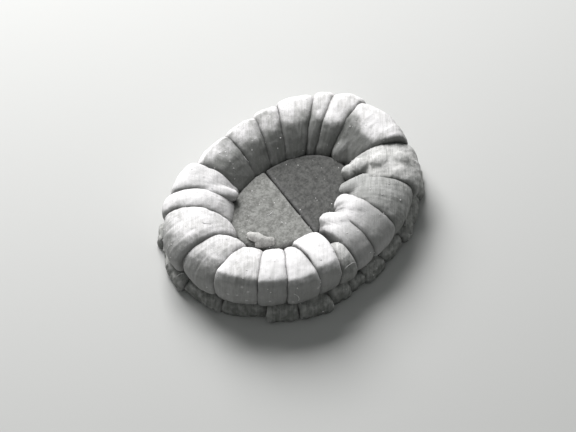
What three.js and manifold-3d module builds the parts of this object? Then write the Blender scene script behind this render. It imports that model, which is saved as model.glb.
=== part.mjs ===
// A fossil coccolith: calcite crystals in two stacked rings around a sunken floor of two plates.
// Millimetres, +Z up, +X along the long axis, origin on the ground under the middle of the object.
// The real plate is about ten micrometres long and is built here ten thousand times larger.
import * as THREE from 'three';
import { mergeVertices } from 'three/addons/utils/BufferGeometryUtils.js';
import Module from 'manifold-3d';

const wasm = await Module();
wasm.setup();

// Plan: the rim and the floor are two ellipses, and every crystal lies between them.
const RIM = new THREE.Vector2(48.4, 37.6);
const FLOOR = new THREE.Vector2(22, 13.5);
const FLOOR_CENTRE = new THREE.Vector2(0.5, 1);

// Heights above the ground.
const FLANGE_TOP = 6.4;
const FLOOR_UNDERSIDE = 3;
const FLOOR_TOP = 11.6;
const CREST = 20;

// Open joint between neighbouring crystals, and the height at which the upper ring starts.
const GAP = 0.3;
const CROWN_FOOT = FLANGE_TOP + GAP;

// Roundness of a crystal: how far its edges fall below its middle (drop) and draw in at its two
// ends (taper), as shares of its height and depth, and how suddenly they do so near a suture.
const CROWN_ROUNDING = { drop: 0.06, taper: 0.07 };
const FLANGE_ROUNDING = { drop: 0.1, taper: 0.03 };
const ROUNDING_POWER = 3;
const SPREAD_POWER = 0.55;

// Mesh fineness: steps round a crystal's profile and from one suture to the next. Three quarters
// of the steps round a profile go over the top, and the rest come back along the flat underside.
const CROWN_MESH = { around: 16, across: 8 };
const FLANGE_MESH = { around: 12, across: 6 };
const EGG_MESH = { around: 10, across: 7 };
const TOP_SHARE = 0.75;

// Usual lean of a crystal's inner wall, and where its top rounds over, as shares of the way and of
// its height. On the inner side the way runs from the wall to the crest, and on the outer side from
// the crest to the outer bulge.
const LEAN = 0.02;
const SHOULDER = [0.28, 0.72];
const LONG_WALL = [0.4, 0.84];
const BROW = [0.62, 0.86];
const BOLD_BROW = [0.82, 0.94];

// Upper ring. Each crystal starts at the suture given by its ellipse angle at the floor and at the
// rim, in degrees, and ends at the next one's. Its inner foot, crest and outer bulge are reaches
// from 0 at the floor to 1 at the rim, and above is how far it tops the ring's usual crest. Where
// stated, lean is how far the inner wall slopes back, and shoulder and brow are where the top
// rounds over on its inner and its outer side.
const CROWN = [
  { floor: -5, rim: -19, inner: 0.1, crest: 0.8, outer: 0.98, above: 0.8, shoulder: [0.4, 0.78] },
  { floor: 19, rim: 17, inner: 0.08, crest: 0.8, outer: 1.09, above: 0.6, shoulder: LONG_WALL },
  { floor: 36, rim: 32, inner: 0.08, crest: 0.84, outer: 1.08, above: 0.4, shoulder: LONG_WALL },
  { floor: 45, rim: 42, inner: 0.07, crest: 0.82, outer: 1.02, above: 0.6, shoulder: LONG_WALL },
  { floor: 63, rim: 60, inner: 0.08, crest: 0.78, outer: 0.94, above: 0, shoulder: LONG_WALL },
  { floor: 78, rim: 72, inner: 0.09, crest: 0.76, outer: 0.89, above: -0.4, shoulder: LONG_WALL },
  { floor: 94, rim: 89, inner: 0.09, crest: 0.76, outer: 0.89, above: -0.6, shoulder: LONG_WALL },
  { floor: 113, rim: 110, inner: 0.11, crest: 0.8, outer: 1.02, above: -0.6, shoulder: LONG_WALL },
  { floor: 127, rim: 127, inner: 0.07, crest: 0.62, outer: 1.06, above: -0.6 },
  { floor: 158, rim: 137, inner: 0.07, crest: 0.58, outer: 1.03, above: 0.2 },
  { floor: 178, rim: 167, inner: 0.08, crest: 0.54, outer: 0.94, above: -0.4, lean: 0.05 },
  { floor: 194, rim: 192, inner: 0.08, crest: 0.7, outer: 0.93, above: 0, lean: 0.07, brow: BOLD_BROW },
  { floor: 208, rim: 216, inner: 0.08, crest: 0.75, outer: 0.95, above: 0.2, lean: 0.07, brow: BOLD_BROW },
  { floor: 229, rim: 230, inner: 0.08, crest: 0.76, outer: 0.98, above: 0, lean: 0.07, brow: BOLD_BROW },
  { floor: 234, rim: 245, inner: 0.07, crest: 0.7, outer: 0.95, above: 0.8, brow: BOLD_BROW },
  { floor: 261, rim: 255, inner: 0.36, crest: 0.68, outer: 0.95, above: -2 },
  { floor: 263, rim: 264, inner: 0.07, crest: 0.5, outer: 0.9, above: -1.6 },
  { floor: 276, rim: 276, inner: 0.07, crest: 0.46, outer: 0.92, above: -0.6 },
  { floor: 300, rim: 290, inner: 0.06, crest: 0.5, outer: 0.93, above: -0.8 },
  { floor: 316, rim: 315, inner: 0.05, crest: 0.6, outer: 1.03, above: -1.6 },
];

// Lower ring: one crystal under each upper one, its sutures turned a little, as the two rings
// spiral opposite ways. The reach is where its outer edge lies.
const FLANGE_TURN = 5;
const FLANGE_INNER = 0.1;
const FLANGE_REACH = [
  1.04, 1.12, 1.11, 1.06, 1.0, 0.98, 0.98, 1.06, 1.12, 1.04,
  0.96, 0.93, 1.01, 1.06, 0.99, 0.95, 0.99, 0.96, 1.02, 1.09,
];

// Small rounded bosses and lobes grown on an upper crystal: index in the ring, place and half sizes.
const BOSSES = [
  { on: 0, at: [28, 3.6, 11.8], half: [4.9, 3.1, 4.2], turn: 14 },
  { on: 7, at: [-15.6, 17.4, 14.6], half: [4.8, 1.7, 2.2], turn: 125 },
  { on: 18, at: [16, -10.8, 13.9], half: [3.2, 2.6, 1.9], turn: -40 },
  { on: 19, at: [22, -6.2, 14.1], half: [3.4, 2.8, 2.1], turn: -20 },
  { on: 19, at: [30, -12, 17.2], half: [3.4, 2.8, 2.6], turn: 0 },
  { on: 19, at: [36, -15.5, 16.4], half: [3, 3.6, 2.7], turn: 20 },
  { on: 19, at: [30.4, -18.2, 16], half: [3.4, 2.6, 2.4], turn: -50 },
  { on: 19, at: [25, -8, 15.6], half: [3.4, 3.2, 2.6], turn: -20 },
];

// Lath lying loose on the edge of the left floor plate.
const LATH = { at: [-20.2, -3.4], half: [3.9, 1.5, 1.3], turn: -70 };

// Floor: an ellipse cut in two by a suture that runs across the basin between two plan points.
const FLOOR_SUTURE = [new THREE.Vector2(2.8, 16), new THREE.Vector2(-4, -14)];
const PLATES = new THREE.Vector2(22.6, 14.7);
const PLATES_CENTRE = new THREE.Vector2(0, 0.95);
const PLATE_BEVEL = 0.8;

const COLOURS = {
  crown: 0xd8d5d1,
  flange: 0xb4b3ad,
  leftPlate: 0xa9a8a3,
  rightPlate: 0x8e8d89,
  lath: 0xcfcdc8,
};

const { lerp, degToRad } = THREE.MathUtils;

/** Point of the ring at an ellipse angle; reach is 0 on the floor's edge and 1 on the rim. */
function ringPoint(degrees, reach) {
  const angle = degToRad(degrees);
  return new THREE.Vector2(
    lerp(FLOOR_CENTRE.x, 0, reach) + lerp(FLOOR.x, RIM.x, reach) * Math.cos(angle),
    lerp(FLOOR_CENTRE.y, 0, reach) + lerp(FLOOR.y, RIM.y, reach) * Math.sin(angle),
  );
}

/** A suture as a straight line from floor to rim, moved half a gap sideways. */
function sutureLine(suture, side) {
  const start = ringPoint(suture.floor, 0);
  const end = ringPoint(suture.rim, 1);
  const along = end.clone().sub(start).normalize();
  const aside = new THREE.Vector2(-along.y, along.x).multiplyScalar((side * GAP) / 2);
  return { start: start.add(aside), end: end.add(aside) };
}

/** Closed profile in reach and height: over the top from inner to outer foot, then back below. */
function sampleProfile(points, steps) {
  const top = new THREE.SplineCurve(points);
  const topSteps = Math.round(steps * TOP_SHARE);
  const inner = points[0];
  const outer = points[points.length - 1];
  return Array.from({ length: steps }, (_, step) =>
    step <= topSteps
      ? top.getPoint(step / topSteps)
      : outer.clone().lerp(inner, (step - topSteps) / (steps - topSteps)),
  );
}

/** How far the arc midway between two sutures bulges beyond the straight chord there. */
function arcBulge(from, to, chord, reach) {
  const first = lerp(from.floor, from.rim, reach);
  const last = lerp(to.floor, to.rim, reach);
  const middleAngle = (first + last) / 2 + (last < first ? 180 : 0);
  return ringPoint(middleAngle, reach).sub(chord[0].clone().lerp(chord[1], 0.5));
}

/** A rounded wedge between two sutures: a sphere with its poles on the two flat suture faces. */
function wedgeCrystal(from, to, points, rounding, mesh) {
  const right = sutureLine(from, 1);
  const left = sutureLine(to, -1);
  const profile = sampleProfile(points, mesh.around);
  const foot = points[0].y;
  const middle = new THREE.Box2().setFromPoints(points).getCenter(new THREE.Vector2());
  const firstRow = Math.cos(Math.PI / mesh.across);
  const geometry = new THREE.SphereGeometry(1, mesh.around, mesh.across);
  const position = geometry.getAttribute('position');
  for (let i = 0; i < position.count; i += 1) {
    const height = position.getY(i);
    const turn = Math.atan2(position.getZ(i), position.getX(i)) / (2 * Math.PI) + 1;
    const step = Math.round(turn * mesh.around) % mesh.around;
    const isPole = Math.abs(height) > 1 - 1e-6;
    const spread = Math.min(1, Math.abs(height) / firstRow) ** SPREAD_POWER;
    const edge = spread ** ROUNDING_POWER;
    const reach = isPole ? middle.x : lerp(profile[step].x, middle.x, rounding.taper * edge);
    const rise = isPole ? (middle.y - foot) / 2 : (profile[step].y - foot) * (1 - rounding.drop * edge);
    const share = (1 - Math.sign(height) * spread) / 2;
    const chord = [right, left].map(({ start, end }) => start.clone().lerp(end, reach));
    const bulge = arcBulge(from, to, chord, reach).multiplyScalar(1 - spread ** 2);
    const plan = chord[0].lerp(chord[1], share).add(bulge);
    position.setXYZ(i, plan.x, plan.y, foot + rise);
  }
  return geometry;
}

/** Profile of an upper crystal: steep inner wall, broad crest, bulging outer wall. */
function crownProfile(crystal) {
  const { inner, crest, outer, above, lean = LEAN, shoulder = SHOULDER, brow = BROW } = crystal;
  const rise = CREST + above - CROWN_FOOT;
  const wall = inner + lean;
  return [
    new THREE.Vector2(inner, CROWN_FOOT),
    new THREE.Vector2(wall, CROWN_FOOT + rise * 0.38),
    new THREE.Vector2(lerp(wall, crest, shoulder[0]), CROWN_FOOT + rise * shoulder[1]),
    new THREE.Vector2(lerp(inner, crest, 0.68), CROWN_FOOT + rise * 0.95),
    new THREE.Vector2(crest, CROWN_FOOT + rise),
    new THREE.Vector2(lerp(crest, outer, brow[0]), CROWN_FOOT + rise * brow[1]),
    new THREE.Vector2(outer, CROWN_FOOT + rise * 0.47),
    new THREE.Vector2(outer - 0.06, CROWN_FOOT),
  ];
}

/** Profile of a lower crystal: flat underneath, flat where it carries the crown, rounded outside. */
function flangeProfile(reach) {
  return [
    new THREE.Vector2(FLANGE_INNER, 0),
    new THREE.Vector2(FLANGE_INNER, FLANGE_TOP * 0.7),
    new THREE.Vector2(FLANGE_INNER + 0.12, FLANGE_TOP * 0.97),
    new THREE.Vector2((FLANGE_INNER + reach) / 2, FLANGE_TOP),
    new THREE.Vector2(reach - 0.25, FLANGE_TOP * 0.97),
    new THREE.Vector2(reach - 0.08, FLANGE_TOP * 0.86),
    new THREE.Vector2(reach, FLANGE_TOP * 0.45),
    new THREE.Vector2(reach - 0.04, 0),
  ];
}

/** Turns a closed three.js geometry into a solid that can be joined. */
function toSolid(geometry) {
  const bare = geometry.clone();
  bare.deleteAttribute('normal');
  bare.deleteAttribute('uv');
  const merged = mergeVertices(bare, 1e-3);
  return new wasm.Manifold(
    new wasm.Mesh({
      numProp: 3,
      vertProperties: merged.getAttribute('position').array,
      triVerts: new Uint32Array(merged.index.array),
    }),
  );
}

/** Joins overlapping closed geometries into one. */
function join(geometries) {
  const solid = geometries.map(toSolid).reduce((whole, next) => whole.add(next));
  const mesh = solid.getMesh();
  const joined = new THREE.BufferGeometry();
  joined.setAttribute('position', new THREE.BufferAttribute(mesh.vertProperties, 3));
  joined.setIndex(new THREE.BufferAttribute(mesh.triVerts, 1));
  return joined;
}

/** An egg-shaped body of given half sizes, turned about the vertical. */
function egg(half, turn, at) {
  const geometry = new THREE.SphereGeometry(1, EGG_MESH.around, EGG_MESH.across);
  geometry.scale(...half);
  geometry.rotateZ(degToRad(turn));
  geometry.translate(...at);
  return geometry;
}

/** Named mesh with a material of its own. */
function piece(name, geometry, color, roughness) {
  const material = new THREE.MeshStandardMaterial({ color, roughness, metalness: 0 });
  geometry.deleteAttribute('uv');
  geometry.computeVertexNormals();
  const mesh = new THREE.Mesh(geometry, material);
  mesh.name = name;
  return mesh;
}

/** Two-digit number for the name of the crystal at a place in its ring. */
function number(index) {
  return String(index + 1).padStart(2, '0');
}

/** Upper ring: one crystal per entry, joined with the bosses grown on it. */
function buildCrown() {
  return CROWN.map((crystal, index) => {
    const next = CROWN[(index + 1) % CROWN.length];
    const body = wedgeCrystal(crystal, next, crownProfile(crystal), CROWN_ROUNDING, CROWN_MESH);
    const bosses = BOSSES.filter(({ on }) => on === index).map(({ half, turn, at }) => egg(half, turn, at));
    const geometry = bosses.length ? join([body, ...bosses]) : body;
    return piece(`crown_${number(index)}`, geometry, COLOURS.crown, 0.82);
  });
}

/** Lower ring. */
function buildFlange() {
  const turned = CROWN.map(({ floor, rim }) => ({ floor: floor - FLANGE_TURN, rim: rim + FLANGE_TURN }));
  return FLANGE_REACH.map((reach, index) => {
    const next = turned[(index + 1) % turned.length];
    const body = wedgeCrystal(turned[index], next, flangeProfile(reach), FLANGE_ROUNDING, FLANGE_MESH);
    return piece(`flange_${number(index)}`, body, COLOURS.flange, 0.88);
  });
}

/** Ellipse angle at which a plan point lies as seen from the middle of the floor. */
function floorAngle(point) {
  const local = point.clone().sub(PLATES_CENTRE).divide(PLATES);
  return Math.atan2(local.y, local.x);
}

/** One floor plate: the part of the floor ellipse on one side of the suture. */
function floorPlate(name, side, color) {
  const angles = FLOOR_SUTURE.map(floorAngle);
  const [start, end] = side > 0 ? [angles[1], angles[0]] : angles;
  const along = FLOOR_SUTURE[0].clone().sub(FLOOR_SUTURE[1]).normalize();
  const aside = new THREE.Vector2(along.y, -along.x).multiplyScalar(side * (GAP / 2 + PLATE_BEVEL));
  const half = PLATES.clone().subScalar(PLATE_BEVEL);
  const centre = PLATES_CENTRE.clone().add(aside);
  const outline = new THREE.Shape();
  outline.absellipse(centre.x, centre.y, half.x - Math.abs(aside.x), half.y, start, end);
  outline.closePath();
  const geometry = new THREE.ExtrudeGeometry(outline, {
    depth: FLOOR_TOP - FLOOR_UNDERSIDE - 2 * PLATE_BEVEL,
    bevelThickness: PLATE_BEVEL,
    bevelSize: PLATE_BEVEL,
    bevelSegments: 2,
    curveSegments: 14,
  });
  geometry.translate(0, 0, FLOOR_UNDERSIDE + PLATE_BEVEL);
  return piece(name, geometry, color, 0.9);
}

/** Small lath resting just clear of the floor. */
function buildLath() {
  const geometry = egg(LATH.half, LATH.turn, [...LATH.at, FLOOR_TOP + GAP + LATH.half[2]]);
  return piece('lath', geometry, COLOURS.lath, 0.8);
}

/** The whole coccolith, with its origin under the middle of its bounding box. */
function buildCoccolith() {
  const coccolith = new THREE.Group();
  coccolith.name = 'coccolith';
  coccolith.add(...buildCrown(), ...buildFlange());
  coccolith.add(floorPlate('plate_left', -1, COLOURS.leftPlate));
  coccolith.add(floorPlate('plate_right', 1, COLOURS.rightPlate));
  coccolith.add(buildLath());
  const box = new THREE.Box3().setFromObject(coccolith, true);
  const middle = box.getCenter(new THREE.Vector3());
  coccolith.position.set(-middle.x, -middle.y, -box.min.z);
  return coccolith;
}

export default buildCoccolith();
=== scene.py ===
"""A fossil coccolith: plump calcite crystals in two stacked rings round a sunken floor of two plates.

Lengths are in metres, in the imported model's own frame: +X along the plate's long axis, +Z up.
Every crystal is its own piece, worn, striated and grainy as old calcite is.
"""

import logging
import math
from dataclasses import dataclass, field
from enum import Enum

import bmesh
import bpy
import numpy as np
from mathutils import Matrix, Vector


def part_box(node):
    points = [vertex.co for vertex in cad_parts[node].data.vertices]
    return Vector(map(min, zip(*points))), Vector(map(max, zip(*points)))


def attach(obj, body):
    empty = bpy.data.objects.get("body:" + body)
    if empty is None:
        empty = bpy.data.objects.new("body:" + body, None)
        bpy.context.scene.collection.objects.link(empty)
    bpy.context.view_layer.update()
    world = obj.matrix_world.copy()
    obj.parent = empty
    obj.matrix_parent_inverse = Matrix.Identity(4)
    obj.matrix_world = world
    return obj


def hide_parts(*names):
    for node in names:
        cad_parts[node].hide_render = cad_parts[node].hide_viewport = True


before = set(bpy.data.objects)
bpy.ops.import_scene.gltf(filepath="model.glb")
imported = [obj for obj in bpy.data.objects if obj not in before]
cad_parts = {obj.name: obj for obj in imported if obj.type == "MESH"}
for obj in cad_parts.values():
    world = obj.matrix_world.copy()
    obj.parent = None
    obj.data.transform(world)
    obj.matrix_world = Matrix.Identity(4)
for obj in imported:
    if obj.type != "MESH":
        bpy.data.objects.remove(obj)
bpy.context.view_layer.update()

log = logging.getLogger("coccolith")

Tree, Socket, Thing = bpy.types.NodeTree, bpy.types.NodeSocket, bpy.types.Object
Mesh, Material, Sockets = bpy.types.Mesh, bpy.types.Material, bpy.types.bpy_prop_collection
Triple = tuple[float, float, float]
Feeds = dict[str, object]

MM = 0.001
BODY = "root"
WELD = 0.002 * MM

PALE = (0.93, 0.91, 0.92)
# Painted shade: the grey laid on faces turned from the lit side and on low inward faces.
PAINTED_SHADE_GREY = (0.13, 0.135, 0.125)
JOINT_SHADOW = (0.035, 0.038, 0.034)

# A Mix node has sockets of each name for every kind of data. These are the colours' places.
MIX_FIRST, MIX_SECOND, MIX_RESULT = 6, 7, 2


class Slot(Enum):
    """The record's material slots."""

    CROWN = "crown_calcite"
    FLANGE = "flange_calcite"
    LEFT_PLATE = "left_plate_calcite"
    RIGHT_PLATE = "right_plate_calcite"
    LATH = "lath_calcite"


class Tone(Enum):
    """How a crown crystal is painted: its duller and paler colours, and how its painted shade lies.

    HOLLOW crystals have painted shade on their inward faces up to their crests, TIPPED ones stay
    unshaded at their inner tips only, and a third tone has painted shade on the faces turned away from its
    own lit side.
    """

    CLEAN = ((0.72, 0.71, 0.71), PALE, {"silt": 0.74, "joint_dark": 0.6})
    HOLLOW = (
        (0.64, 0.63, 0.62),
        PALE,
        {"silt": 0.88, "silt_line": (18.4 * MM, 20.8 * MM), "joint_dark": 0.42},
    )
    TIPPED = (
        (0.7, 0.69, 0.69),
        PALE,
        {"silt": 0.62, "tip_line": (19.0 * MM, 32.0 * MM)},
    )
    LEEWARD = (
        (0.64, 0.63, 0.62),
        PALE,
        {"silt": 0.68, "bare_side": (0.8, 0.35, 0.48), "bare_span": (-0.2, 0.45)},
    )
    # Painted shade: these two tones are darker copies of the crown calcite, for crystals turned away from
    # the light.
    WORN = ((0.46, 0.46, 0.445), (0.78, 0.77, 0.76), {"silt": 0.7})
    DULL = ((0.3, 0.302, 0.292), (0.5, 0.5, 0.49), {"silt": 0.55})


# ---------------------------------------------------------------------------
# Node-tree helpers


def add_node(tree: Tree, kind: str, feeds: Feeds | None = None, **settings: object) -> bpy.types.Node:
    """Adds a node, sets its plain properties and then feeds its inputs.

    Args:
        tree: The tree that gets the node.
        kind: The node's type name.
        feeds: What feeds its inputs, by the input's name: output sockets or values.
        settings: Property names and values.

    Returns:
        The new node.
    """
    node = tree.nodes.new(kind)
    for name, value in settings.items():
        setattr(node, name, value)
    for name, source in (feeds or {}).items():
        wire(tree, node.inputs[name], source)
    return node


def wire(tree: Tree, target: Socket, source: object) -> None:
    """Feeds a socket from another socket, or sets its value.

    Args:
        tree: The tree that both sockets are in.
        target: The input socket.
        source: An output socket, or a number, vector or colour.
    """
    if isinstance(source, Socket):
        tree.links.new(source, target)
    else:
        target.default_value = source


def math_node(tree: Tree, operation: str, *values: object) -> Socket:
    """One arithmetic step in a node tree.

    Args:
        tree: The tree that gets the step.
        operation: The operation's name, such as MULTIPLY.
        values: The inputs in order: sockets or numbers.

    Returns:
        The result's socket.
    """
    node = add_node(tree, "ShaderNodeMath", operation=operation)
    for socket, value in zip(node.inputs, values):
        wire(tree, socket, value)
    return node.outputs["Value"]


def vector_node(tree: Tree, operation: str, *values: object, result: str = "Vector") -> Socket:
    """One vector step in a node tree.

    Args:
        tree: The tree that gets the step.
        operation: The operation's name, such as ADD.
        values: The inputs in order: sockets or triples.
        result: The output to use: Vector, or Value where the result is a number.

    Returns:
        The result's socket.
    """
    node = add_node(tree, "ShaderNodeVectorMath", operation=operation)
    for socket, value in zip(node.inputs, values):
        wire(tree, socket, value)
    return node.outputs[result]


def noise_node(
    tree: Tree, place: object, frequency: object, detail: float, rough: float = 0.55
) -> Socket:
    """A fractal noise about 0.5.

    Args:
        tree: The tree that gets the noise.
        place: The socket of the coordinates, in metres.
        frequency: Lumps in a metre.
        detail: Octaves of finer lumps.
        rough: How strong the finer octaves are.

    Returns:
        The noise's value socket.
    """
    feeds = {"Vector": place, "Scale": frequency, "Detail": detail, "Roughness": rough}
    return add_node(tree, "ShaderNodeTexNoise", feeds).outputs[0]


def send_out(tree: Tree, geometry: Socket, material: Socket) -> None:
    """Gives geometry its material and makes it what a Geometry Nodes tree sends out.

    Args:
        tree: The tree.
        geometry: The finished geometry.
        material: The tree's own material input.
    """
    dressed = add_node(tree, "GeometryNodeSetMaterial", {"Geometry": geometry, "Material": material})
    add_node(tree, "NodeGroupOutput", {"Geometry": dressed.outputs["Geometry"]})


# ---------------------------------------------------------------------------
# Finishes


@dataclass(frozen=True)
class Calcite:
    """Matt old calcite: mottled, finely striped and grainy, with painted highlight on its edges, painted
    shade in its joints and painted shade on faces turned from a lit side.

    Attributes:
        name: The material's name.
        shade: Colour of the duller patches.
        light: Colour of the cleaner patches.
        edge_glow: How much painted highlight pales the sharp edges.
        joint_dark: How much painted shade darkens the joints and hollows, from 0 to 1.
        grain: Strength of the surface grain in the bump.
        stripe: Strength of the fine stripes in the bump.
        stripe_share: How much the stripes show in the colour, next to the mottling.
        grain_share: How much the grain shows in the colour, next to the mottling.
        silt: How much painted grey shade covers the faces turned from the lit side and the low inward faces,
            from 0 to 1.
        bare_side: The direction taken as lit; faces turned to it stay free of painted shade.
        bare_span: How far a face must turn to that side to lose its painted shade: start and end.
        silt_line: Heights between which the painted shade on inward faces gives out.
        fray_turn, fray_height, fray_reach: How far the mottling frays those three edges.
        tip_line: Distances from the middle between which the unshaded tip gives out.
        joint_reach: How wide the painted shade of a joint is.
        mottle_frequency: Mottles in a metre.
        grain_frequency: Grains in a metre.
        mottle_span: How far the mottling must stray from its middle to reach either colour.
        stripe_turn: Turn of the stripes about +Z, in degrees.
        stripe_stretch: How much slower the stripes change along each axis.
        stripe_frequency: Stripes in a metre.
        sharp_span: Pointiness over which the painted highlight on an edge rises.
        joint_fall: Power by which light falls off into a joint.
        outer_span: Turn outwards over which a face leaves the inner side.
        grain_depth: Height of the grain at full strength.
        stripe_depth: Height of the stripes at full strength.
        shine: Specular level.
        matt: Least roughness.
        matt_grain: How much the grain adds to it.
    """

    name: str
    shade: Triple
    light: Triple
    edge_glow: float = 0.35
    joint_dark: float = 0.7
    grain: float = 0.85
    stripe: float = 0.5
    stripe_share: float = 0.75
    grain_share: float = 0.6
    silt: float = 0.0
    bare_side: Triple = (0.6, 0.55, 0.58)
    bare_span: tuple[float, float] = (-0.4, 0.28)
    silt_line: tuple[float, float] = (-2.0 * MM, -1.0 * MM)
    tip_line: tuple[float, float] = (90.0 * MM, 95.0 * MM)
    fray_turn: float = 0.5
    fray_height: float = 4.0 * MM
    fray_reach: float = 6.0 * MM
    joint_reach: float = 3.0 * MM
    mottle_frequency: float = 170.0
    grain_frequency: float = 2400.0
    mottle_span: float = 0.27
    stripe_turn: float = -45.0
    stripe_stretch: Triple = (1.0, 14.0, 9.0)
    stripe_frequency: float = 1900.0
    sharp_span: tuple[float, float] = (0.5, 0.6)
    joint_fall: float = 1.4
    outer_span: tuple[float, float] = (0.0, 0.4)
    grain_depth: float = 0.12 * MM
    stripe_depth: float = 0.2 * MM
    shine: float = 0.22
    matt: float = 0.62
    matt_grain: float = 0.3

    def material(self) -> Material:
        """Builds the node material.

        Returns:
            The new material.
        """
        material = bpy.data.materials.new(self.name)
        material.use_nodes = True
        tree = material.node_tree
        tree.nodes.clear()
        place = add_node(tree, "ShaderNodeTexCoord").outputs["Object"]
        grain = noise_node(tree, place, self.grain_frequency, detail=3.0, rough=0.7)
        stripes = self.stripes(tree, place)
        looks = {
            "Base Color": self.colour(tree, place, grain, stripes),
            "Roughness": math_node(tree, "MULTIPLY_ADD", grain, self.matt_grain, self.matt),
            "Specular IOR Level": self.shine,
            "Normal": self.bump(tree, grain, stripes),
        }
        shader = add_node(tree, "ShaderNodeBsdfPrincipled", looks)
        add_node(tree, "ShaderNodeOutputMaterial", {"Surface": shader.outputs["BSDF"]})
        return material

    def stripes(self, tree: Tree, place: Socket) -> Socket:
        """Fine growth stripes that run across the plate's shorter diagonal.

        Args:
            tree: The material's tree.
            place: The socket of the object coordinates.

        Returns:
            A value about 0.5 that changes fast across the stripes.
        """
        turn = (0.0, 0.0, math.radians(self.stripe_turn))
        feeds = {"Vector": place, "Rotation": turn, "Scale": self.stripe_stretch}
        turned = add_node(tree, "ShaderNodeMapping", feeds, vector_type="TEXTURE")
        return noise_node(tree, turned.outputs["Vector"], self.stripe_frequency, detail=2.0, rough=0.6)

    def colour(self, tree: Tree, place: Socket, grain: Socket, stripes: Socket) -> Socket:
        """The base colour: mottled and striped, with painted highlight on sharp edges, painted shade on
        faces turned from the lit side and painted shade in joints.

        Args:
            tree: The material's tree.
            place: The socket of the object coordinates.
            grain: The grain's value.
            stripes: The stripes' value.

        Returns:
            The colour's socket.
        """
        mottle = noise_node(tree, place, self.mottle_frequency, detail=4.0, rough=0.6)
        blend = math_node(tree, "MULTIPLY_ADD", stripes, self.stripe_share, mottle)
        blend = math_node(tree, "MULTIPLY_ADD", grain, self.grain_share, blend)
        middle = 0.5 * (1.0 + self.stripe_share + self.grain_share)
        light = self.eased(tree, blend, (middle - self.mottle_span, middle + self.mottle_span))
        base = self.mix(tree, light, self.shade, self.light)
        # Painted shade on faces turned from the lit side and on low inward faces.
        base = self.stained(tree, place, mottle, base)
        # Painted highlight: sharp edges are paled towards PALE.
        pointed = add_node(tree, "ShaderNodeNewGeometry").outputs["Pointiness"]
        low, high = self.sharp_span
        feeds = {"Value": pointed, "From Min": low, "From Max": high, "To Max": self.edge_glow}
        edges = add_node(tree, "ShaderNodeMapRange", feeds)
        base = self.mix(tree, edges.outputs["Result"], base, PALE)
        # Painted shade: ambient occlusion darkens the joints and hollows towards JOINT_SHADOW.
        hollow = add_node(tree, "ShaderNodeAmbientOcclusion", {"Distance": self.joint_reach}, samples=6)
        open_sky = math_node(tree, "POWER", hollow.outputs["AO"], self.joint_fall)
        dark = math_node(tree, "MULTIPLY", math_node(tree, "SUBTRACT", 1.0, open_sky), self.joint_dark)
        return self.mix(tree, dark, base, JOINT_SHADOW)

    def stained(self, tree: Tree, place: Socket, mottle: Socket, base: Socket) -> Socket:
        """Painted shade: greys every face except those turned to the lit side that also stand above the
        shade line or face outwards, and lie near enough to the middle.

        Args:
            tree: The material's tree.
            place: The socket of the object coordinates.
            mottle: The mottling's value, which frays the painted shade's edge.
            base: The colour without painted shade.

        Returns:
            The shaded colour's socket.
        """
        normal = add_node(tree, "ShaderNodeNewGeometry").outputs["Normal"]
        fray = math_node(tree, "SUBTRACT", mottle, 0.5)
        facing = vector_node(tree, "DOT_PRODUCT", normal, self.bare_side, result="Value")
        turned = math_node(tree, "MULTIPLY_ADD", fray, self.fray_turn, facing)
        unshaded = self.eased(tree, turned, self.bare_span)
        flat = vector_node(tree, "MULTIPLY", place, (1.0, 1.0, 0.0))
        away = vector_node(tree, "NORMALIZE", flat)
        outward = vector_node(tree, "DOT_PRODUCT", normal, away, result="Value")
        split = add_node(tree, "ShaderNodeSeparateXYZ", {"Vector": place})
        height = math_node(tree, "MULTIPLY_ADD", fray, self.fray_height, split.outputs["Z"])
        crest = self.eased(tree, height, self.silt_line)
        above = math_node(tree, "MAXIMUM", crest, self.eased(tree, outward, self.outer_span))
        distance = vector_node(tree, "LENGTH", flat, result="Value")
        reach = math_node(tree, "MULTIPLY_ADD", fray, self.fray_reach, distance)
        near_tip = math_node(tree, "SUBTRACT", 1.0, self.eased(tree, reach, self.tip_line))
        unshaded = math_node(tree, "MINIMUM", unshaded, math_node(tree, "MINIMUM", above, near_tip))
        silt = math_node(tree, "MULTIPLY", math_node(tree, "SUBTRACT", 1.0, unshaded), self.silt)
        return self.mix(tree, silt, base, PAINTED_SHADE_GREY)

    def eased(self, tree: Tree, value: Socket, span: tuple[float, float]) -> Socket:
        """Eases a value from 0 at one end of a span to 1 at the other.

        Args:
            tree: The material's tree.
            value: The value.
            span: Where the easing starts and ends.

        Returns:
            The eased value's socket.
        """
        feeds = {"Value": value, "From Min": span[0], "From Max": span[1]}
        ease = add_node(tree, "ShaderNodeMapRange", feeds, interpolation_type="SMOOTHSTEP")
        return ease.outputs["Result"]

    def mix(self, tree: Tree, share: object, first: object, second: object) -> Socket:
        """Mixes two colours.

        Args:
            tree: The material's tree.
            share: Share of the second colour.
            first: The first colour: a socket or a triple.
            second: The second colour: a socket or a triple.

        Returns:
            The mixed colour's socket.
        """
        node = add_node(tree, "ShaderNodeMix", data_type="RGBA")
        wire(tree, node.inputs["Factor"], share)
        for place, colour in ((MIX_FIRST, first), (MIX_SECOND, second)):
            wire(tree, node.inputs[place], (*colour, 1.0) if isinstance(colour, tuple) else colour)
        return node.outputs[MIX_RESULT]

    def bump(self, tree: Tree, grain: Socket, stripes: Socket) -> Socket:
        """The bumped normal from grain and stripes.

        Args:
            tree: The material's tree.
            grain: The grain's value.
            stripes: The stripes' value.

        Returns:
            The normal's socket.
        """
        feeds = {"Strength": self.grain, "Distance": self.grain_depth, "Height": grain}
        fine = add_node(tree, "ShaderNodeBump", feeds).outputs["Normal"]
        feeds = {"Strength": self.stripe, "Distance": self.stripe_depth, "Height": stripes}
        return add_node(tree, "ShaderNodeBump", {**feeds, "Normal": fine}).outputs["Normal"]


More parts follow.
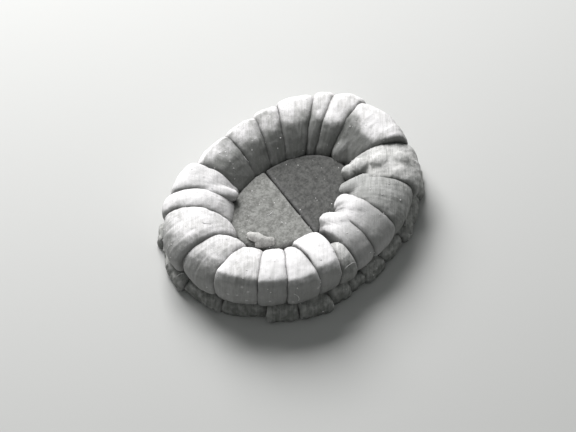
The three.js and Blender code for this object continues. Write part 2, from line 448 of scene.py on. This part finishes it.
@dataclass(frozen=True)
class Backdrop:
    """Plain pale paper for the floor.

    Attributes:
        name: The material's name.
        colour: The paper's colour.
        roughness: The paper's roughness.
    """

    name: str = "pale_paper"
    colour: Triple = (0.62, 0.62, 0.61)
    roughness: float = 0.95

    def material(self) -> Material:
        """Builds the paper's material: one flat colour with no shine to speak of.

        Returns:
            The new material.
        """
        material = bpy.data.materials.new(self.name)
        material.use_nodes = True
        tree = material.node_tree
        shader = tree.nodes["Principled BSDF"]
        shader.inputs["Base Color"].default_value = (*self.colour, 1.0)
        shader.inputs["Roughness"].default_value = self.roughness
        return material


# ---------------------------------------------------------------------------
# Relief: Geometry Nodes that wear and ripple a crystal


@dataclass(frozen=True)
class Relief:
    """Heights of the surface relief that Geometry Nodes lay on a crystal.

    Attributes:
        lumps: Height of the broad lumps.
        lump_size: Distance between them.
        flutes: Height of the flutes that run from the floor to the rim.
        flute_size: Distance between them.
        pocks: Height of the close-set pocks.
        pock_size: Distance between them.
    """

    lumps: float = 1.1 * MM
    lump_size: float = 7.0 * MM
    flutes: float = 0.5 * MM
    flute_size: float = 1.6 * MM
    pocks: float = 0.12 * MM
    pock_size: float = 0.9 * MM

    def inputs(self) -> dict[str, float]:
        """The relief as the relief tree's inputs.

        Returns:
            Each field's value by the input's name, such as "Lump size" for lump_size.
        """
        return {name.capitalize().replace("_", " "): value for name, value in vars(self).items()}


class ReliefTree:
    """The Geometry Nodes tree that lays relief on a closed body.

    DRIFT is how far a whole seed moves the noise along each axis, in metres. RING_RADIUS turns an
    angle round the ring into a length, and ALONG is how slowly the flutes change down their length.
    """

    DRIFT = (0.011, 0.017, 0.007)
    RING_RADIUS = 33.0 * MM
    ALONG = 0.12
    INPUTS = ("Lumps", "Lump size", "Flutes", "Flute size", "Pocks", "Pock size", "Swell", "Seed")

    def __init__(self) -> None:
        """Builds the tree once for every crystal."""
        self.tree = bpy.data.node_groups.new("calcite_relief", "GeometryNodeTree")
        face = self.tree.interface
        face.new_socket("Geometry", in_out="INPUT", socket_type="NodeSocketGeometry")
        for name in self.INPUTS:
            face.new_socket(name, in_out="INPUT", socket_type="NodeSocketFloat")
        face.new_socket("Material", in_out="INPUT", socket_type="NodeSocketMaterial")
        face.new_socket("Geometry", in_out="OUTPUT", socket_type="NodeSocketGeometry")
        self.build()

    def build(self) -> None:
        """Wires lumps, flutes and pocks into one offset along the normal."""
        tree = self.tree
        given = add_node(tree, "NodeGroupInput").outputs
        place = add_node(tree, "GeometryNodeInputPosition").outputs["Position"]
        drift = add_node(tree, "ShaderNodeCombineXYZ")
        for axis, step in zip("XYZ", self.DRIFT):
            wire(tree, drift.inputs[axis], math_node(tree, "MULTIPLY", given["Seed"], step))
        moved = vector_node(tree, "ADD", place, drift.outputs["Vector"])
        height = self.layer(moved, given["Lumps"], given["Lump size"], 2.0)
        flutes = self.layer(self.fan(place), given["Flutes"], given["Flute size"], 3.0)
        height = math_node(tree, "ADD", height, flutes)
        pocks = self.layer(moved, given["Pocks"], given["Pock size"], 3.0)
        height = math_node(tree, "ADD", height, pocks)
        height = math_node(tree, "ADD", height, given["Swell"])
        normal = add_node(tree, "GeometryNodeInputNormal").outputs["Normal"]
        push = add_node(tree, "ShaderNodeVectorMath", {"Vector": normal, "Scale": height}, operation="SCALE")
        feeds = {"Geometry": given["Geometry"], "Offset": push.outputs["Vector"]}
        worn = add_node(tree, "GeometryNodeSetPosition", feeds).outputs["Geometry"]
        whole = add_node(tree, "GeometryNodeRealizeInstances", {"Geometry": worn})
        send_out(tree, whole.outputs["Geometry"], given["Material"])

    def layer(self, place: Socket, height: Socket, size: Socket, detail: float) -> Socket:
        """One layer of noise relief.

        Args:
            place: Where each point is.
            height: Full height of the layer.
            size: Distance between its lumps.
            detail: Octaves of finer lumps.

        Returns:
            The layer's offset, about zero.
        """
        value = noise_node(self.tree, place, math_node(self.tree, "DIVIDE", 1.0, size), detail)
        return math_node(self.tree, "MULTIPLY", math_node(self.tree, "SUBTRACT", value, 0.5), height)

    def fan(self, place: Socket) -> Socket:
        """Coordinates that change fast round the ring and slowly outwards and upwards.

        Args:
            place: Where each point is.

        Returns:
            The fanned coordinates, in metres round the ring.
        """
        tree = self.tree
        split = add_node(tree, "ShaderNodeSeparateXYZ", {"Vector": place}).outputs
        around = math_node(tree, "ARCTAN2", split["Y"], split["X"])
        out = vector_node(tree, "LENGTH", place, result="Value")
        fanned = {
            "X": math_node(tree, "MULTIPLY", around, self.RING_RADIUS),
            "Y": math_node(tree, "MULTIPLY", out, self.ALONG),
            "Z": math_node(tree, "MULTIPLY", split["Z"], self.ALONG),
        }
        return add_node(tree, "ShaderNodeCombineXYZ", fanned).outputs["Vector"]


# ---------------------------------------------------------------------------
# Crystals


def new_object(name: str, data: bpy.types.ID) -> Thing:
    """Links a new object at the origin.

    Args:
        name: The object's name.
        data: Its mesh, light or camera.

    Returns:
        The new object.
    """
    made = bpy.data.objects.new(name, data)
    bpy.context.scene.collection.objects.link(made)
    return made


def hang(tree: Tree, body: Thing, values: dict[str, object]) -> None:
    """Hangs a Geometry Nodes tree on a body and sets its inputs by their sockets' identifiers.

    Args:
        tree: The tree.
        body: The body that gets it.
        values: Each input's value, by the input's name.
    """
    modifier = body.modifiers.new(tree.name, "NODES")
    modifier.node_group = tree
    for item in tree.interface.items_tree:
        if item.in_out == "INPUT" and item.name in values:
            modifier[item.identifier] = values[item.name]


def nodes_named(prefix: str) -> list[str]:
    """The CAD nodes whose names start with a prefix, in order.

    Args:
        prefix: The start of their names.

    Returns:
        The nodes' names.
    """
    return sorted(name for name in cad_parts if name.startswith(prefix))


def merged_copy(node: str) -> Mesh:
    """A CAD node's mesh with its loose triangles joined.

    Args:
        node: The CAD node's name.

    Returns:
        A new closed mesh.
    """
    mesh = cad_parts[node].data.copy()
    mesh.materials.clear()
    work = bmesh.new()
    work.from_mesh(mesh)
    bmesh.ops.remove_doubles(work, verts=work.verts, dist=WELD)
    work.to_mesh(mesh)
    work.free()
    return mesh


def baked(body: Thing) -> None:
    """Turns an object's modifiers into plain geometry.

    Args:
        body: The object, which keeps its place and loses its modifiers.
    """
    bpy.context.view_layer.update()
    view = bpy.context.evaluated_depsgraph_get()
    mesh = bpy.data.meshes.new_from_object(body.evaluated_get(view))
    body.modifiers.clear()
    body.data = mesh
    mesh.name = body.name


def keep_above(mesh: Mesh, ground: float) -> None:
    """Presses every point below a height up to it, so that a base stays flat.

    Args:
        mesh: The mesh to press.
        ground: The lowest height.
    """
    points = np.empty(len(mesh.vertices) * 3)
    mesh.vertices.foreach_get("co", points)
    points[2::3] = np.maximum(points[2::3], ground)
    mesh.vertices.foreach_set("co", points)
    mesh.update()


@dataclass(frozen=True)
class Lobe:
    """A rounded swelling grown on a crystal: two balls and the skin drawn tight round them.

    Attributes:
        start: Middle of the first ball, as shares of the way across the crystal's CAD box.
        end: Middle of the second ball, in the same shares.
        radii: Radius of each ball, in millimetres.
    """

    start: Triple
    end: Triple
    radii: tuple[float, float]

    def add_to(self, mesh: Mesh, node: str) -> None:
        """Adds the lobe's closed shell to a mesh, which a voxel remesh then fuses.

        Args:
            mesh: The crystal's mesh.
            node: The crystal's CAD node.
        """
        low, high = (Vector(corner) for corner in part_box(node))
        shell = bmesh.new()
        for shares, radius in zip((self.start, self.end), self.radii):
            spot = Matrix.Translation(low + (high - low) * Vector(shares))
            bmesh.ops.create_icosphere(shell, subdivisions=3, radius=radius * MM, matrix=spot)
        hull = bmesh.ops.convex_hull(shell, input=shell.verts)
        spare = [item for item in hull["geom_interior"] if isinstance(item, bmesh.types.BMVert)]
        bmesh.ops.delete(shell, geom=spare, context="VERTS")
        bmesh.ops.recalc_face_normals(shell, faces=shell.faces)
        skin = bpy.data.meshes.new("lobe_skin")
        shell.to_mesh(skin)
        shell.free()
        whole = bmesh.new()
        whole.from_mesh(mesh)
        whole.from_mesh(skin)
        whole.to_mesh(mesh)
        whole.free()
        bpy.data.meshes.remove(skin)


@dataclass
class Crystal:
    """One crystal, made fine and worn from its CAD solid.

    Attributes:
        node: The CAD node that it stands for.
        slot: The record's slot; not used.
        relief: Its surface relief.
        voxel: Edge of the fine mesh's faces.
        rounding: Smoothing steps that round its facets and edges.
        swell: How far it grows to meet its neighbours.
        seed: What makes its relief its own.
        lobes: Swellings grown on it.
        spread: How much wider than its solid it is, about the middle of the basin.
    """

    node: str
    slot: Slot
    relief: Relief
    voxel: float = 0.34 * MM
    rounding: int = 22
    swell: float = 0.34 * MM
    seed: int = 0
    lobes: tuple[Lobe, ...] = ()
    spread: float = 1.0

    def build(self, tree: ReliefTree, material: Material) -> Thing:
        """Args:
            tree: The relief tree.
            material: Its finish.

        Returns:
            The finished piece.
        """
        body = new_object(f"{self.node}_crystal", merged_copy(self.node))
        body.data.transform(Matrix.Diagonal((self.spread, self.spread, 1.0, 1.0)))
        for lobe in self.lobes:
            lobe.add_to(body.data, self.node)
        remesh = body.modifiers.new("fine", "REMESH")
        remesh.mode = "VOXEL"
        remesh.voxel_size = self.voxel
        smooth = body.modifiers.new("round", "SMOOTH")
        smooth.factor = 0.5
        smooth.iterations = self.rounding
        growth = {"Swell": self.swell, "Seed": float(self.seed), "Material": material}
        hang(tree.tree, body, {**self.relief.inputs(), **growth})
        baked(body)
        keep_above(body.data, 0.0)
        body.data.shade_smooth()
        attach(body, BODY)
        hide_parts(self.node)
        log.info("%s: %d faces", body.name, len(body.data.polygons))
        return body


@dataclass
class Crown:
    """The upper ring: plump crystals of uneven width, some with darker colours as painted shade.

    Attributes:
        relief: The crystals' relief.
        bumpy: The relief of the knobbly crystals.
        voxel: Edge of their fine mesh's faces.
        rounding: Smoothing steps of most crystals.
        square_rounding: Smoothing steps of the square ones.
        plump_rounding: Smoothing steps of the plump ones.
        swell: How far most crystals grow.
        tight_swell: How far the tight ones grow.
        plump_swell: How far the plump ones grow.
        first_seed: The first crystal's seed.
        tones: Tone of the crystals that aren't CLEAN: how their painted shade lies, or darker copies as
            painted shade.
        lobes: Swellings, by crystal.
        tight: Crystals that stand so close that their crests run together.
        plump: Crystals that are rounded the most, with deep grooves between them.
        square: Crystals that keep their flat tops or their knobs, as they are rounded less.
    """

    relief: Relief = Relief()
    bumpy: Relief = Relief(lumps=1.1 * MM, lump_size=4.0 * MM, flutes=0.1 * MM)
    voxel: float = 0.34 * MM
    rounding: int = 44
    square_rounding: int = 32
    plump_rounding: int = 100
    swell: float = 0.34 * MM
    tight_swell: float = 0.46 * MM
    plump_swell: float = 0.66 * MM
    first_seed: int = 1
    tones: dict[str, Tone] = field(
        default_factory=lambda: {
            **{f"crown_{number:02d}": Tone.HOLLOW for number in range(1, 8)},
            "crown_10": Tone.LEEWARD,
            "crown_11": Tone.LEEWARD,
            "crown_12": Tone.LEEWARD,
            "crown_16": Tone.WORN,
            "crown_17": Tone.TIPPED,
            "crown_18": Tone.TIPPED,
            "crown_19": Tone.DULL,
            "crown_20": Tone.WORN,
        }
    )
    lobes: dict[str, tuple[Lobe, ...]] = field(
        default_factory=lambda: {
            "crown_01": (Lobe((0.16, 0.69, 0.29), (0.47, 0.9, 0.71), (3.1, 2.4)),),
            "crown_08": (Lobe((0.76, 0.08, 0.59), (0.5, 0.35, 0.7), (1.8, 2.6)),),
            "crown_17": (Lobe((0.67, 0.96, 0.57), (0.83, 0.69, 0.81), (2.6, 2.9)),),
            "crown_18": (Lobe((0.56, 0.9, 0.58), (0.51, 0.61, 0.73), (3.8, 4.2)),),
            "crown_19": (Lobe((0.21, 0.89, 0.55), (0.46, 0.75, 0.58), (2.6, 3.8)),),
            "crown_20": (Lobe((0.15, 0.8, 0.49), (0.38, 0.66, 0.49), (2.8, 3.8)),),
        }
    )
    tight: tuple[str, ...] = tuple(f"crown_{number:02d}" for number in range(2, 13))
    plump: tuple[str, ...] = ("crown_09", "crown_10", "crown_11", "crown_17", "crown_18", "crown_19")
    square: tuple[str, ...] = ("crown_12", "crown_13", "crown_14", "crown_15", "crown_20")

    def build(self, tree: ReliefTree) -> list[Thing]:
        """Makes every crystal of the ring.

        Args:
            tree: The relief tree.

        Returns:
            The crystals in order.
        """
        materials = {tone: self.finish(tone).material() for tone in Tone}
        pieces = []
        for index, node in enumerate(nodes_named("crown_")):
            tone = self.tones.get(node, Tone.CLEAN)
            rounding, swell = self.growth(node)
            crystal = Crystal(
                node=node,
                slot=Slot.CROWN,
                relief=self.bumpy if node == "crown_20" else self.relief,
                voxel=self.voxel,
                rounding=rounding,
                swell=swell,
                seed=self.first_seed + index,
                lobes=self.lobes.get(node, ()),
            )
            pieces.append(crystal.build(tree, materials[tone]))
        return pieces

    def growth(self, node: str) -> tuple[int, float]:
        """How many smoothing steps a crystal gets, and how far it grows to meet its neighbours.

        Args:
            node: The crystal's CAD node.

        Returns:
            The number of steps, and the growth in metres.
        """
        if node in self.plump:
            return self.plump_rounding, self.plump_swell
        rounding = self.square_rounding if node in self.square else self.rounding
        return rounding, self.tight_swell if node in self.tight else self.swell

    def finish(self, tone: Tone) -> Calcite:
        """The finish of crystals of one tone.

        Args:
            tone: The tone.

        Returns:
            The finish.
        """
        shade, light, shade_settings = tone.value
        return Calcite(f"crown_calcite_{tone.name.lower()}", shade, light, **shade_settings)


@dataclass
class Flange:
    """The lower ring: flatter, rougher crystals that spread under the crown, darker as painted shade.

    Attributes:
        relief: The crystals' relief.
        voxel: Edge of their fine mesh's faces.
        rounding: Smoothing steps.
        swell: How far they grow.
        first_seed: The first crystal's seed.
        finish: Their finish.
    """

    relief: Relief = Relief(lumps=2.8 * MM, lump_size=4.5 * MM, flutes=0.6 * MM, pocks=0.25 * MM)
    voxel: float = 0.44 * MM
    rounding: int = 20
    swell: float = 0.36 * MM
    first_seed: int = 31
    # Painted shade: the flange's dark colours stand in for the shade under the crown.
    finish: Calcite = Calcite(
        "flange_calcite", (0.26, 0.262, 0.252), (0.52, 0.52, 0.5), joint_dark=0.4, silt=0.75
    )

    def build(self, tree: ReliefTree) -> list[Thing]:
        """Makes every crystal of the ring.

        Args:
            tree: The relief tree.

        Returns:
            The crystals in order.
        """
        material = self.finish.material()
        pieces = []
        for index, node in enumerate(nodes_named("flange_")):
            crystal = Crystal(
                node=node,
                slot=Slot.FLANGE,
                relief=self.relief,
                voxel=self.voxel,
                rounding=self.rounding,
                swell=self.swell,
                seed=self.first_seed + index,
            )
            pieces.append(crystal.build(tree, material))
        return pieces


def plate_finish(name: str, shade: Triple, light: Triple, grain_share: float) -> Calcite:
    """The finish of a floor plate: coarse grain and hardly any stripes.

    Args:
        name: The material's name.
        shade: Colour of the duller patches.
        light: Colour of the cleaner patches.
        grain_share: How much the grain shows in the colour.

    Returns:
        The finish.
    """
    return Calcite(
        name,
        shade,
        light,
        grain=1.0,
        stripe_share=0.1,
        grain_share=grain_share,
        joint_dark=0.55,
        mottle_frequency=420.0,
        grain_frequency=1300.0,
    )


@dataclass
class BasinFloor:
    """The two floor plates and the lath that lies on one's edge.

    Attributes:
        relief: The plates' relief.
        lath_relief: The lath's relief.
        left: The left plate's finish.
        right: The right plate's finish.
        lath_lobe: The lath's second arm.
        lath: The lath's finish.
    """

    relief: Relief = Relief(
        lumps=0.5 * MM, lump_size=9 * MM, flutes=0.0, pocks=0.2 * MM, pock_size=0.8 * MM
    )
    lath_relief: Relief = Relief(
        lumps=1.2 * MM, lump_size=2.4 * MM, flutes=0.0, pocks=0.1 * MM, pock_size=0.6 * MM
    )
    # Painted shade: both plates are darker than the crown as shade in the sunken floor, and the right plate
    # is darker again as painted shadow.
    left: Calcite = plate_finish("left_plate_calcite", (0.17, 0.17, 0.16), (0.35, 0.35, 0.335), 1.1)
    right: Calcite = plate_finish("right_plate_calcite", (0.062, 0.062, 0.06), (0.14, 0.14, 0.134), 1.0)
    lath_lobe: Lobe = Lobe((0.33, 0.31, -0.04), (1.19, 0.01, -0.08), (1.5, 1.3))
    lath: Calcite = Calcite("lath_calcite", (0.36, 0.355, 0.34), (0.66, 0.65, 0.63), joint_dark=0.45)

    def build(self, tree: ReliefTree) -> list[Thing]:
        """Makes both plates and the lath.

        Args:
            tree: The relief tree.

        Returns:
            The plates and the lath.
        """
        pieces = []
        for node, slot, finish in (
            ("plate_left", Slot.LEFT_PLATE, self.left),
            ("plate_right", Slot.RIGHT_PLATE, self.right),
        ):
            plate = Crystal(
                node, slot, self.relief, voxel=0.36 * MM, rounding=12, swell=0.2 * MM, seed=61, spread=1.07
            )
            pieces.append(plate.build(tree, finish.material()))
        lath = Crystal(
            "lath",
            Slot.LATH,
            self.lath_relief,
            voxel=0.16 * MM,
            rounding=8,
            seed=71,
            lobes=(self.lath_lobe,),
        )
        pieces.append(lath.build(tree, self.lath.material()))
        return pieces


# ---------------------------------------------------------------------------
# Loose dust


class DustTree:
    """A Geometry Nodes tree that scatters small things over a surface.

    LOWEST is the least upward turn of a face that catches them, SIZES the range of their sizes
    next to the given one, and SQUAT the shape of a grain.
    """

    LOWEST = -0.1
    SIZES = (0.35, 1.0)
    SQUAT = (1.0, 0.75, 0.65)
    INPUTS = ("Density", "Size", "Seed")

    def __init__(self, name: str) -> None:
        """Builds the tree.

        Args:
            name: The tree's name.
        """
        self.tree = bpy.data.node_groups.new(name, "GeometryNodeTree")
        face = self.tree.interface
        face.new_socket("Surface", in_out="INPUT", socket_type="NodeSocketObject")
        for name in self.INPUTS:
            kind = "NodeSocketInt" if name == "Seed" else "NodeSocketFloat"
            face.new_socket(name, in_out="INPUT", socket_type=kind)
        face.new_socket("Material", in_out="INPUT", socket_type="NodeSocketMaterial")
        face.new_socket("Geometry", in_out="OUTPUT", socket_type="NodeSocketGeometry")
        given = add_node(self.tree, "NodeGroupInput").outputs
        info = add_node(self.tree, "GeometryNodeObjectInfo", {"Object": given["Surface"]})
        surface = info.outputs["Geometry"]
        placed = self.scattered(surface, given)
        whole = add_node(self.tree, "GeometryNodeRealizeInstances", {"Geometry": placed})
        send_out(self.tree, self.shaped(whole.outputs["Geometry"], surface), given["Material"])

    def scattered(self, surface: Socket, given: Sockets) -> Socket:
        """Instances at random points of the upward faces.

        Args:
            surface: The surface's geometry.
            given: The tree's inputs.

        Returns:
            The instances.
        """
        tree = self.tree
        normal = add_node(tree, "GeometryNodeInputNormal").outputs["Normal"]
        split = add_node(tree, "ShaderNodeSeparateXYZ", {"Vector": normal})
        feeds = {"A": split.outputs["Z"], "B": self.LOWEST}
        upward = add_node(tree, "FunctionNodeCompare", feeds, data_type="FLOAT", operation="GREATER_THAN")
        seed = {"Seed": given["Seed"]}
        feeds = {"Mesh": surface, "Selection": upward.outputs["Result"], "Density": given["Density"]}
        points = add_node(tree, "GeometryNodeDistributePointsOnFaces", {**feeds, **seed})
        twist = add_node(tree, "FunctionNodeRandomValue", {"Max": math.tau, **seed}, data_type="FLOAT")
        about = add_node(tree, "FunctionNodeAxisAngleToRotation", {"Angle": twist.outputs["Value"]})
        feeds = {"Rotation": points.outputs["Rotation"], "Rotate By": about.outputs["Rotation"]}
        turned = add_node(tree, "FunctionNodeRotateRotation", feeds, rotation_space="LOCAL")
        low, high = self.SIZES
        feeds = {"Min": low, "Max": high, **seed}
        spread = add_node(tree, "FunctionNodeRandomValue", feeds, data_type="FLOAT")
        feeds = {
            "Points": points.outputs["Points"],
            "Instance": self.template(given),
            "Rotation": turned.outputs["Rotation"],
            "Scale": spread.outputs["Value"],
        }
        return add_node(tree, "GeometryNodeInstanceOnPoints", feeds).outputs["Instances"]

    def template(self, given: Sockets) -> Socket:
        """The thing that is scattered: a squat grain of twenty faces.

        Args:
            given: The tree's inputs.

        Returns:
            The grain's geometry.
        """
        ball = add_node(self.tree, "GeometryNodeMeshIcoSphere", {"Radius": given["Size"]})
        feeds = {"Geometry": ball.outputs["Mesh"], "Scale": self.SQUAT}
        return add_node(self.tree, "GeometryNodeTransform", feeds).outputs["Geometry"]

    def shaped(self, whole: Socket, surface: Socket) -> Socket:
        """Leaves the grains as they were scattered.

        Args:
            whole: The scattered grains.
            surface: The surface's geometry, which grains don't need.

        Returns:
            The grains, unchanged.
        """
        return whole

    def scatter(
        self, name: str, surface: Thing, values: dict[str, object], material: Material
    ) -> Thing:
        """Scatters the things over a surface and makes them one plain mesh.

        Args:
            name: The new piece's name.
            surface: The object they lie on.
            values: The sizes, by the input's name.
            material: Their finish.

        Returns:
            The finished piece.
        """
        body = new_object(name, bpy.data.meshes.new(name))
        hang(self.tree, body, {**values, "Surface": surface, "Material": material})
        baked(body)
        keep_above(body.data, 0.0)
        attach(body, BODY)
        log.info("%s: %d faces", name, len(body.data.polygons))
        return body


class HairTree(DustTree):
    """Short curved hairs that cling to the surface.

    BEND is the curve's shape for a hair one unit long, LIFT how far it stands off the surface,
    THICKNESS its radius, and STEPS and SIDES its segments lengthways and round about.
    """

    BEND = {"Start": (-0.5, 0.0, 0.0), "Middle": (0.1, 0.3, 0.0), "End": (0.5, 0.0, 0.0)}
    LIFT = (0.0, 0.0, 0.06 * MM)
    THICKNESS = 0.1 * MM
    STEPS = 10
    SIDES = 5

    def template(self, given: Sockets) -> Socket:
        """One bent hair, as a curve.

        Args:
            given: The tree's inputs, of which Size is the hair's length.

        Returns:
            The hair's curve.
        """
        feeds = {"Resolution": self.STEPS}
        for end, shares in self.BEND.items():
            sizes = {"Vector": shares, "Scale": given["Size"]}
            scaled = add_node(self.tree, "ShaderNodeVectorMath", sizes, operation="SCALE")
            feeds[end] = scaled.outputs["Vector"]
        return add_node(self.tree, "GeometryNodeCurveQuadraticBezier", feeds).outputs["Curve"]

    def shaped(self, whole: Socket, surface: Socket) -> Socket:
        """Lays the curves on the surface and gives them thickness.

        Args:
            whole: The loose curves.
            surface: The surface's geometry.

        Returns:
            The hairs' mesh.
        """
        tree = self.tree
        near = add_node(tree, "GeometryNodeProximity", target_element="FACES")
        wire(tree, near.inputs[0], surface)
        feeds = {"Geometry": whole, "Position": near.outputs["Position"], "Offset": self.LIFT}
        laid = add_node(tree, "GeometryNodeSetPosition", feeds).outputs["Geometry"]
        feeds = {"Resolution": self.SIDES, "Radius": self.THICKNESS}
        ring = add_node(tree, "GeometryNodeCurvePrimitiveCircle", feeds, mode="RADIUS").outputs["Curve"]
        feeds = {"Curve": laid, "Profile Curve": ring, "Fill Caps": True}
        return add_node(tree, "GeometryNodeCurveToMesh", feeds).outputs["Mesh"]


@dataclass
class Dust:
    """Bright grains and hairs that cling to the crystals.

    Attributes:
        grain_size: Radius of the largest grains.
        grain_density: Grains on a square metre.
        grain_seed: What places the grains.
        hair_length: Length of the longest hairs.
        hair_density: Hairs on a square metre.
        hair_seed: What places the hairs.
        finish: The finish of both.
    """

    grain_size: float = 0.34 * MM
    grain_density: float = 24000.0
    grain_seed: int = 5
    hair_length: float = 6.0 * MM
    hair_density: float = 1500.0
    hair_seed: int = 3
    finish: Calcite = Calcite("dust_calcite", (0.72, 0.71, 0.7), (0.95, 0.94, 0.94), joint_dark=0.3)

    def build(self, crystals: list[Thing]) -> None:
        """Scatters the dust over the crystals.

        Args:
            crystals: The pieces it lies on.
        """
        surface = self.joined_surface(crystals)
        material = self.finish.material()
        grains = {"Density": self.grain_density, "Size": self.grain_size, "Seed": self.grain_seed}
        DustTree("grain_scatter").scatter("dust_grains", surface, grains, material)
        hairs = {"Density": self.hair_density, "Size": self.hair_length, "Seed": self.hair_seed}
        HairTree("hair_scatter").scatter("dust_hairs", surface, hairs, material)
        mesh = surface.data
        bpy.data.objects.remove(surface)
        bpy.data.meshes.remove(mesh)

    def joined_surface(self, crystals: list[Thing]) -> Thing:
        """One temporary object that holds every crystal's mesh.

        Args:
            crystals: The pieces.

        Returns:
            The temporary object.
        """
        whole = bmesh.new()
        for crystal in crystals:
            whole.from_mesh(crystal.data)
        mesh = bpy.data.meshes.new("dust_ground")
        whole.to_mesh(mesh)
        whole.free()
        return new_object("dust_ground", mesh)


# ---------------------------------------------------------------------------
# Studio


@dataclass
class Studio:
    """Pale floor, soft lights and a long-lens camera.

    Attributes:
        azimuth: Turn of the view about +Z, in degrees, from one along +Y.
        elevation: Height of the view above the ground, in degrees.
        distance: From the camera to what it aims at.
        lens: Focal length, in millimetres.
        aim_right: How far to the right of the origin it aims.
        aim_up: How far above the origin it aims, as the camera sees it.
        floor_half: Half the floor's edge.
        floor_drop: How far the floor lies under the object.
        key: The key light's place, edge and power in watts.
        fill: The same of the fill light.
        sky_colour: Colour of the sky.
        sky_power: Strength of the sky.
    """

    azimuth: float = -45.0
    elevation: float = 52.0
    distance: float = 1.101
    lens: float = 200.0
    aim_right: float = -2.01 * MM
    aim_up: float = 2.21 * MM
    floor_half: float = 1.6
    floor_drop: float = 0.02 * MM
    key: tuple[Triple, float, float] = ((0.2, 0.48, 0.46), 0.42, 7.6)
    fill: tuple[Triple, float, float] = ((-0.5, -0.3, 0.5), 0.5, 0.25)
    sky_colour: Triple = (0.9, 0.95, 0.93)
    sky_power: float = 0.16

    def build(self) -> None:
        """Makes the floor, the lights, the sky and the camera."""
        self.floor()
        self.lights()
        self.camera()

    def floor(self) -> None:
        """Lays a wide pale sheet just under the object."""
        half = self.floor_half
        mesh = bpy.data.meshes.new("studio_floor")
        corners = [(-half, -half, 0), (half, -half, 0), (half, half, 0), (-half, half, 0)]
        mesh.from_pydata(corners, [], [(0, 1, 2, 3)])
        sheet = new_object("studio_floor", mesh)
        sheet.location.z = -self.floor_drop
        mesh.materials.append(Backdrop().material())

    def area_light(self, name: str, place: Triple, size: float, power: float) -> None:
        """A square soft light that faces the object.

        Args:
            name: The light's name.
            place: Where it stands.
            size: Its edge.
            power: Its power in watts.
        """
        data = bpy.data.lights.new(name, "AREA")
        data.shape = "SQUARE"
        data.size = size
        data.energy = power
        lamp = new_object(name, data)
        lamp.location = place
        lamp.rotation_euler = (-Vector(place)).to_track_quat("-Z", "Y").to_euler()

    def lights(self) -> None:
        """Sets a broad key behind and above, a weak fill in front, and a dim sky."""
        self.area_light("key_behind", *self.key)
        self.area_light("fill_front", *self.fill)
        world = bpy.data.worlds.new("studio_sky")
        world.use_nodes = True
        sky = world.node_tree.nodes["Background"]
        sky.inputs["Color"].default_value = (*self.sky_colour, 1.0)
        sky.inputs["Strength"].default_value = self.sky_power
        bpy.context.scene.world = world
        bpy.context.scene.view_settings.view_transform = "Standard"

    def camera(self) -> None:
        """Sets a long-lens camera that looks down at the basin over its near left side."""
        turn, tilt = math.radians(self.azimuth), math.radians(self.elevation)
        back = Vector((math.sin(turn) * math.cos(tilt), -math.cos(turn) * math.cos(tilt), math.sin(tilt)))
        facing = (-back).to_track_quat("-Z", "Y")
        aim = facing @ Vector((self.aim_right, self.aim_up, 0.0))
        data = bpy.data.cameras.new("camera")
        data.lens = self.lens
        data.clip_end = 10.0
        camera = new_object("camera", data)
        camera.location = aim + back * self.distance
        camera.rotation_euler = facing.to_euler()
        bpy.context.scene.camera = camera


def main() -> None:
    """Builds the studio, then every sub-assembly of the coccolith."""
    logging.basicConfig(level=logging.INFO, format="%(message)s")
    Studio().build()
    tree = ReliefTree()
    crystals = Crown().build(tree) + Flange().build(tree) + BasinFloor().build(tree)
    Dust().build(crystals)


if __name__ == "__main__":
    main()
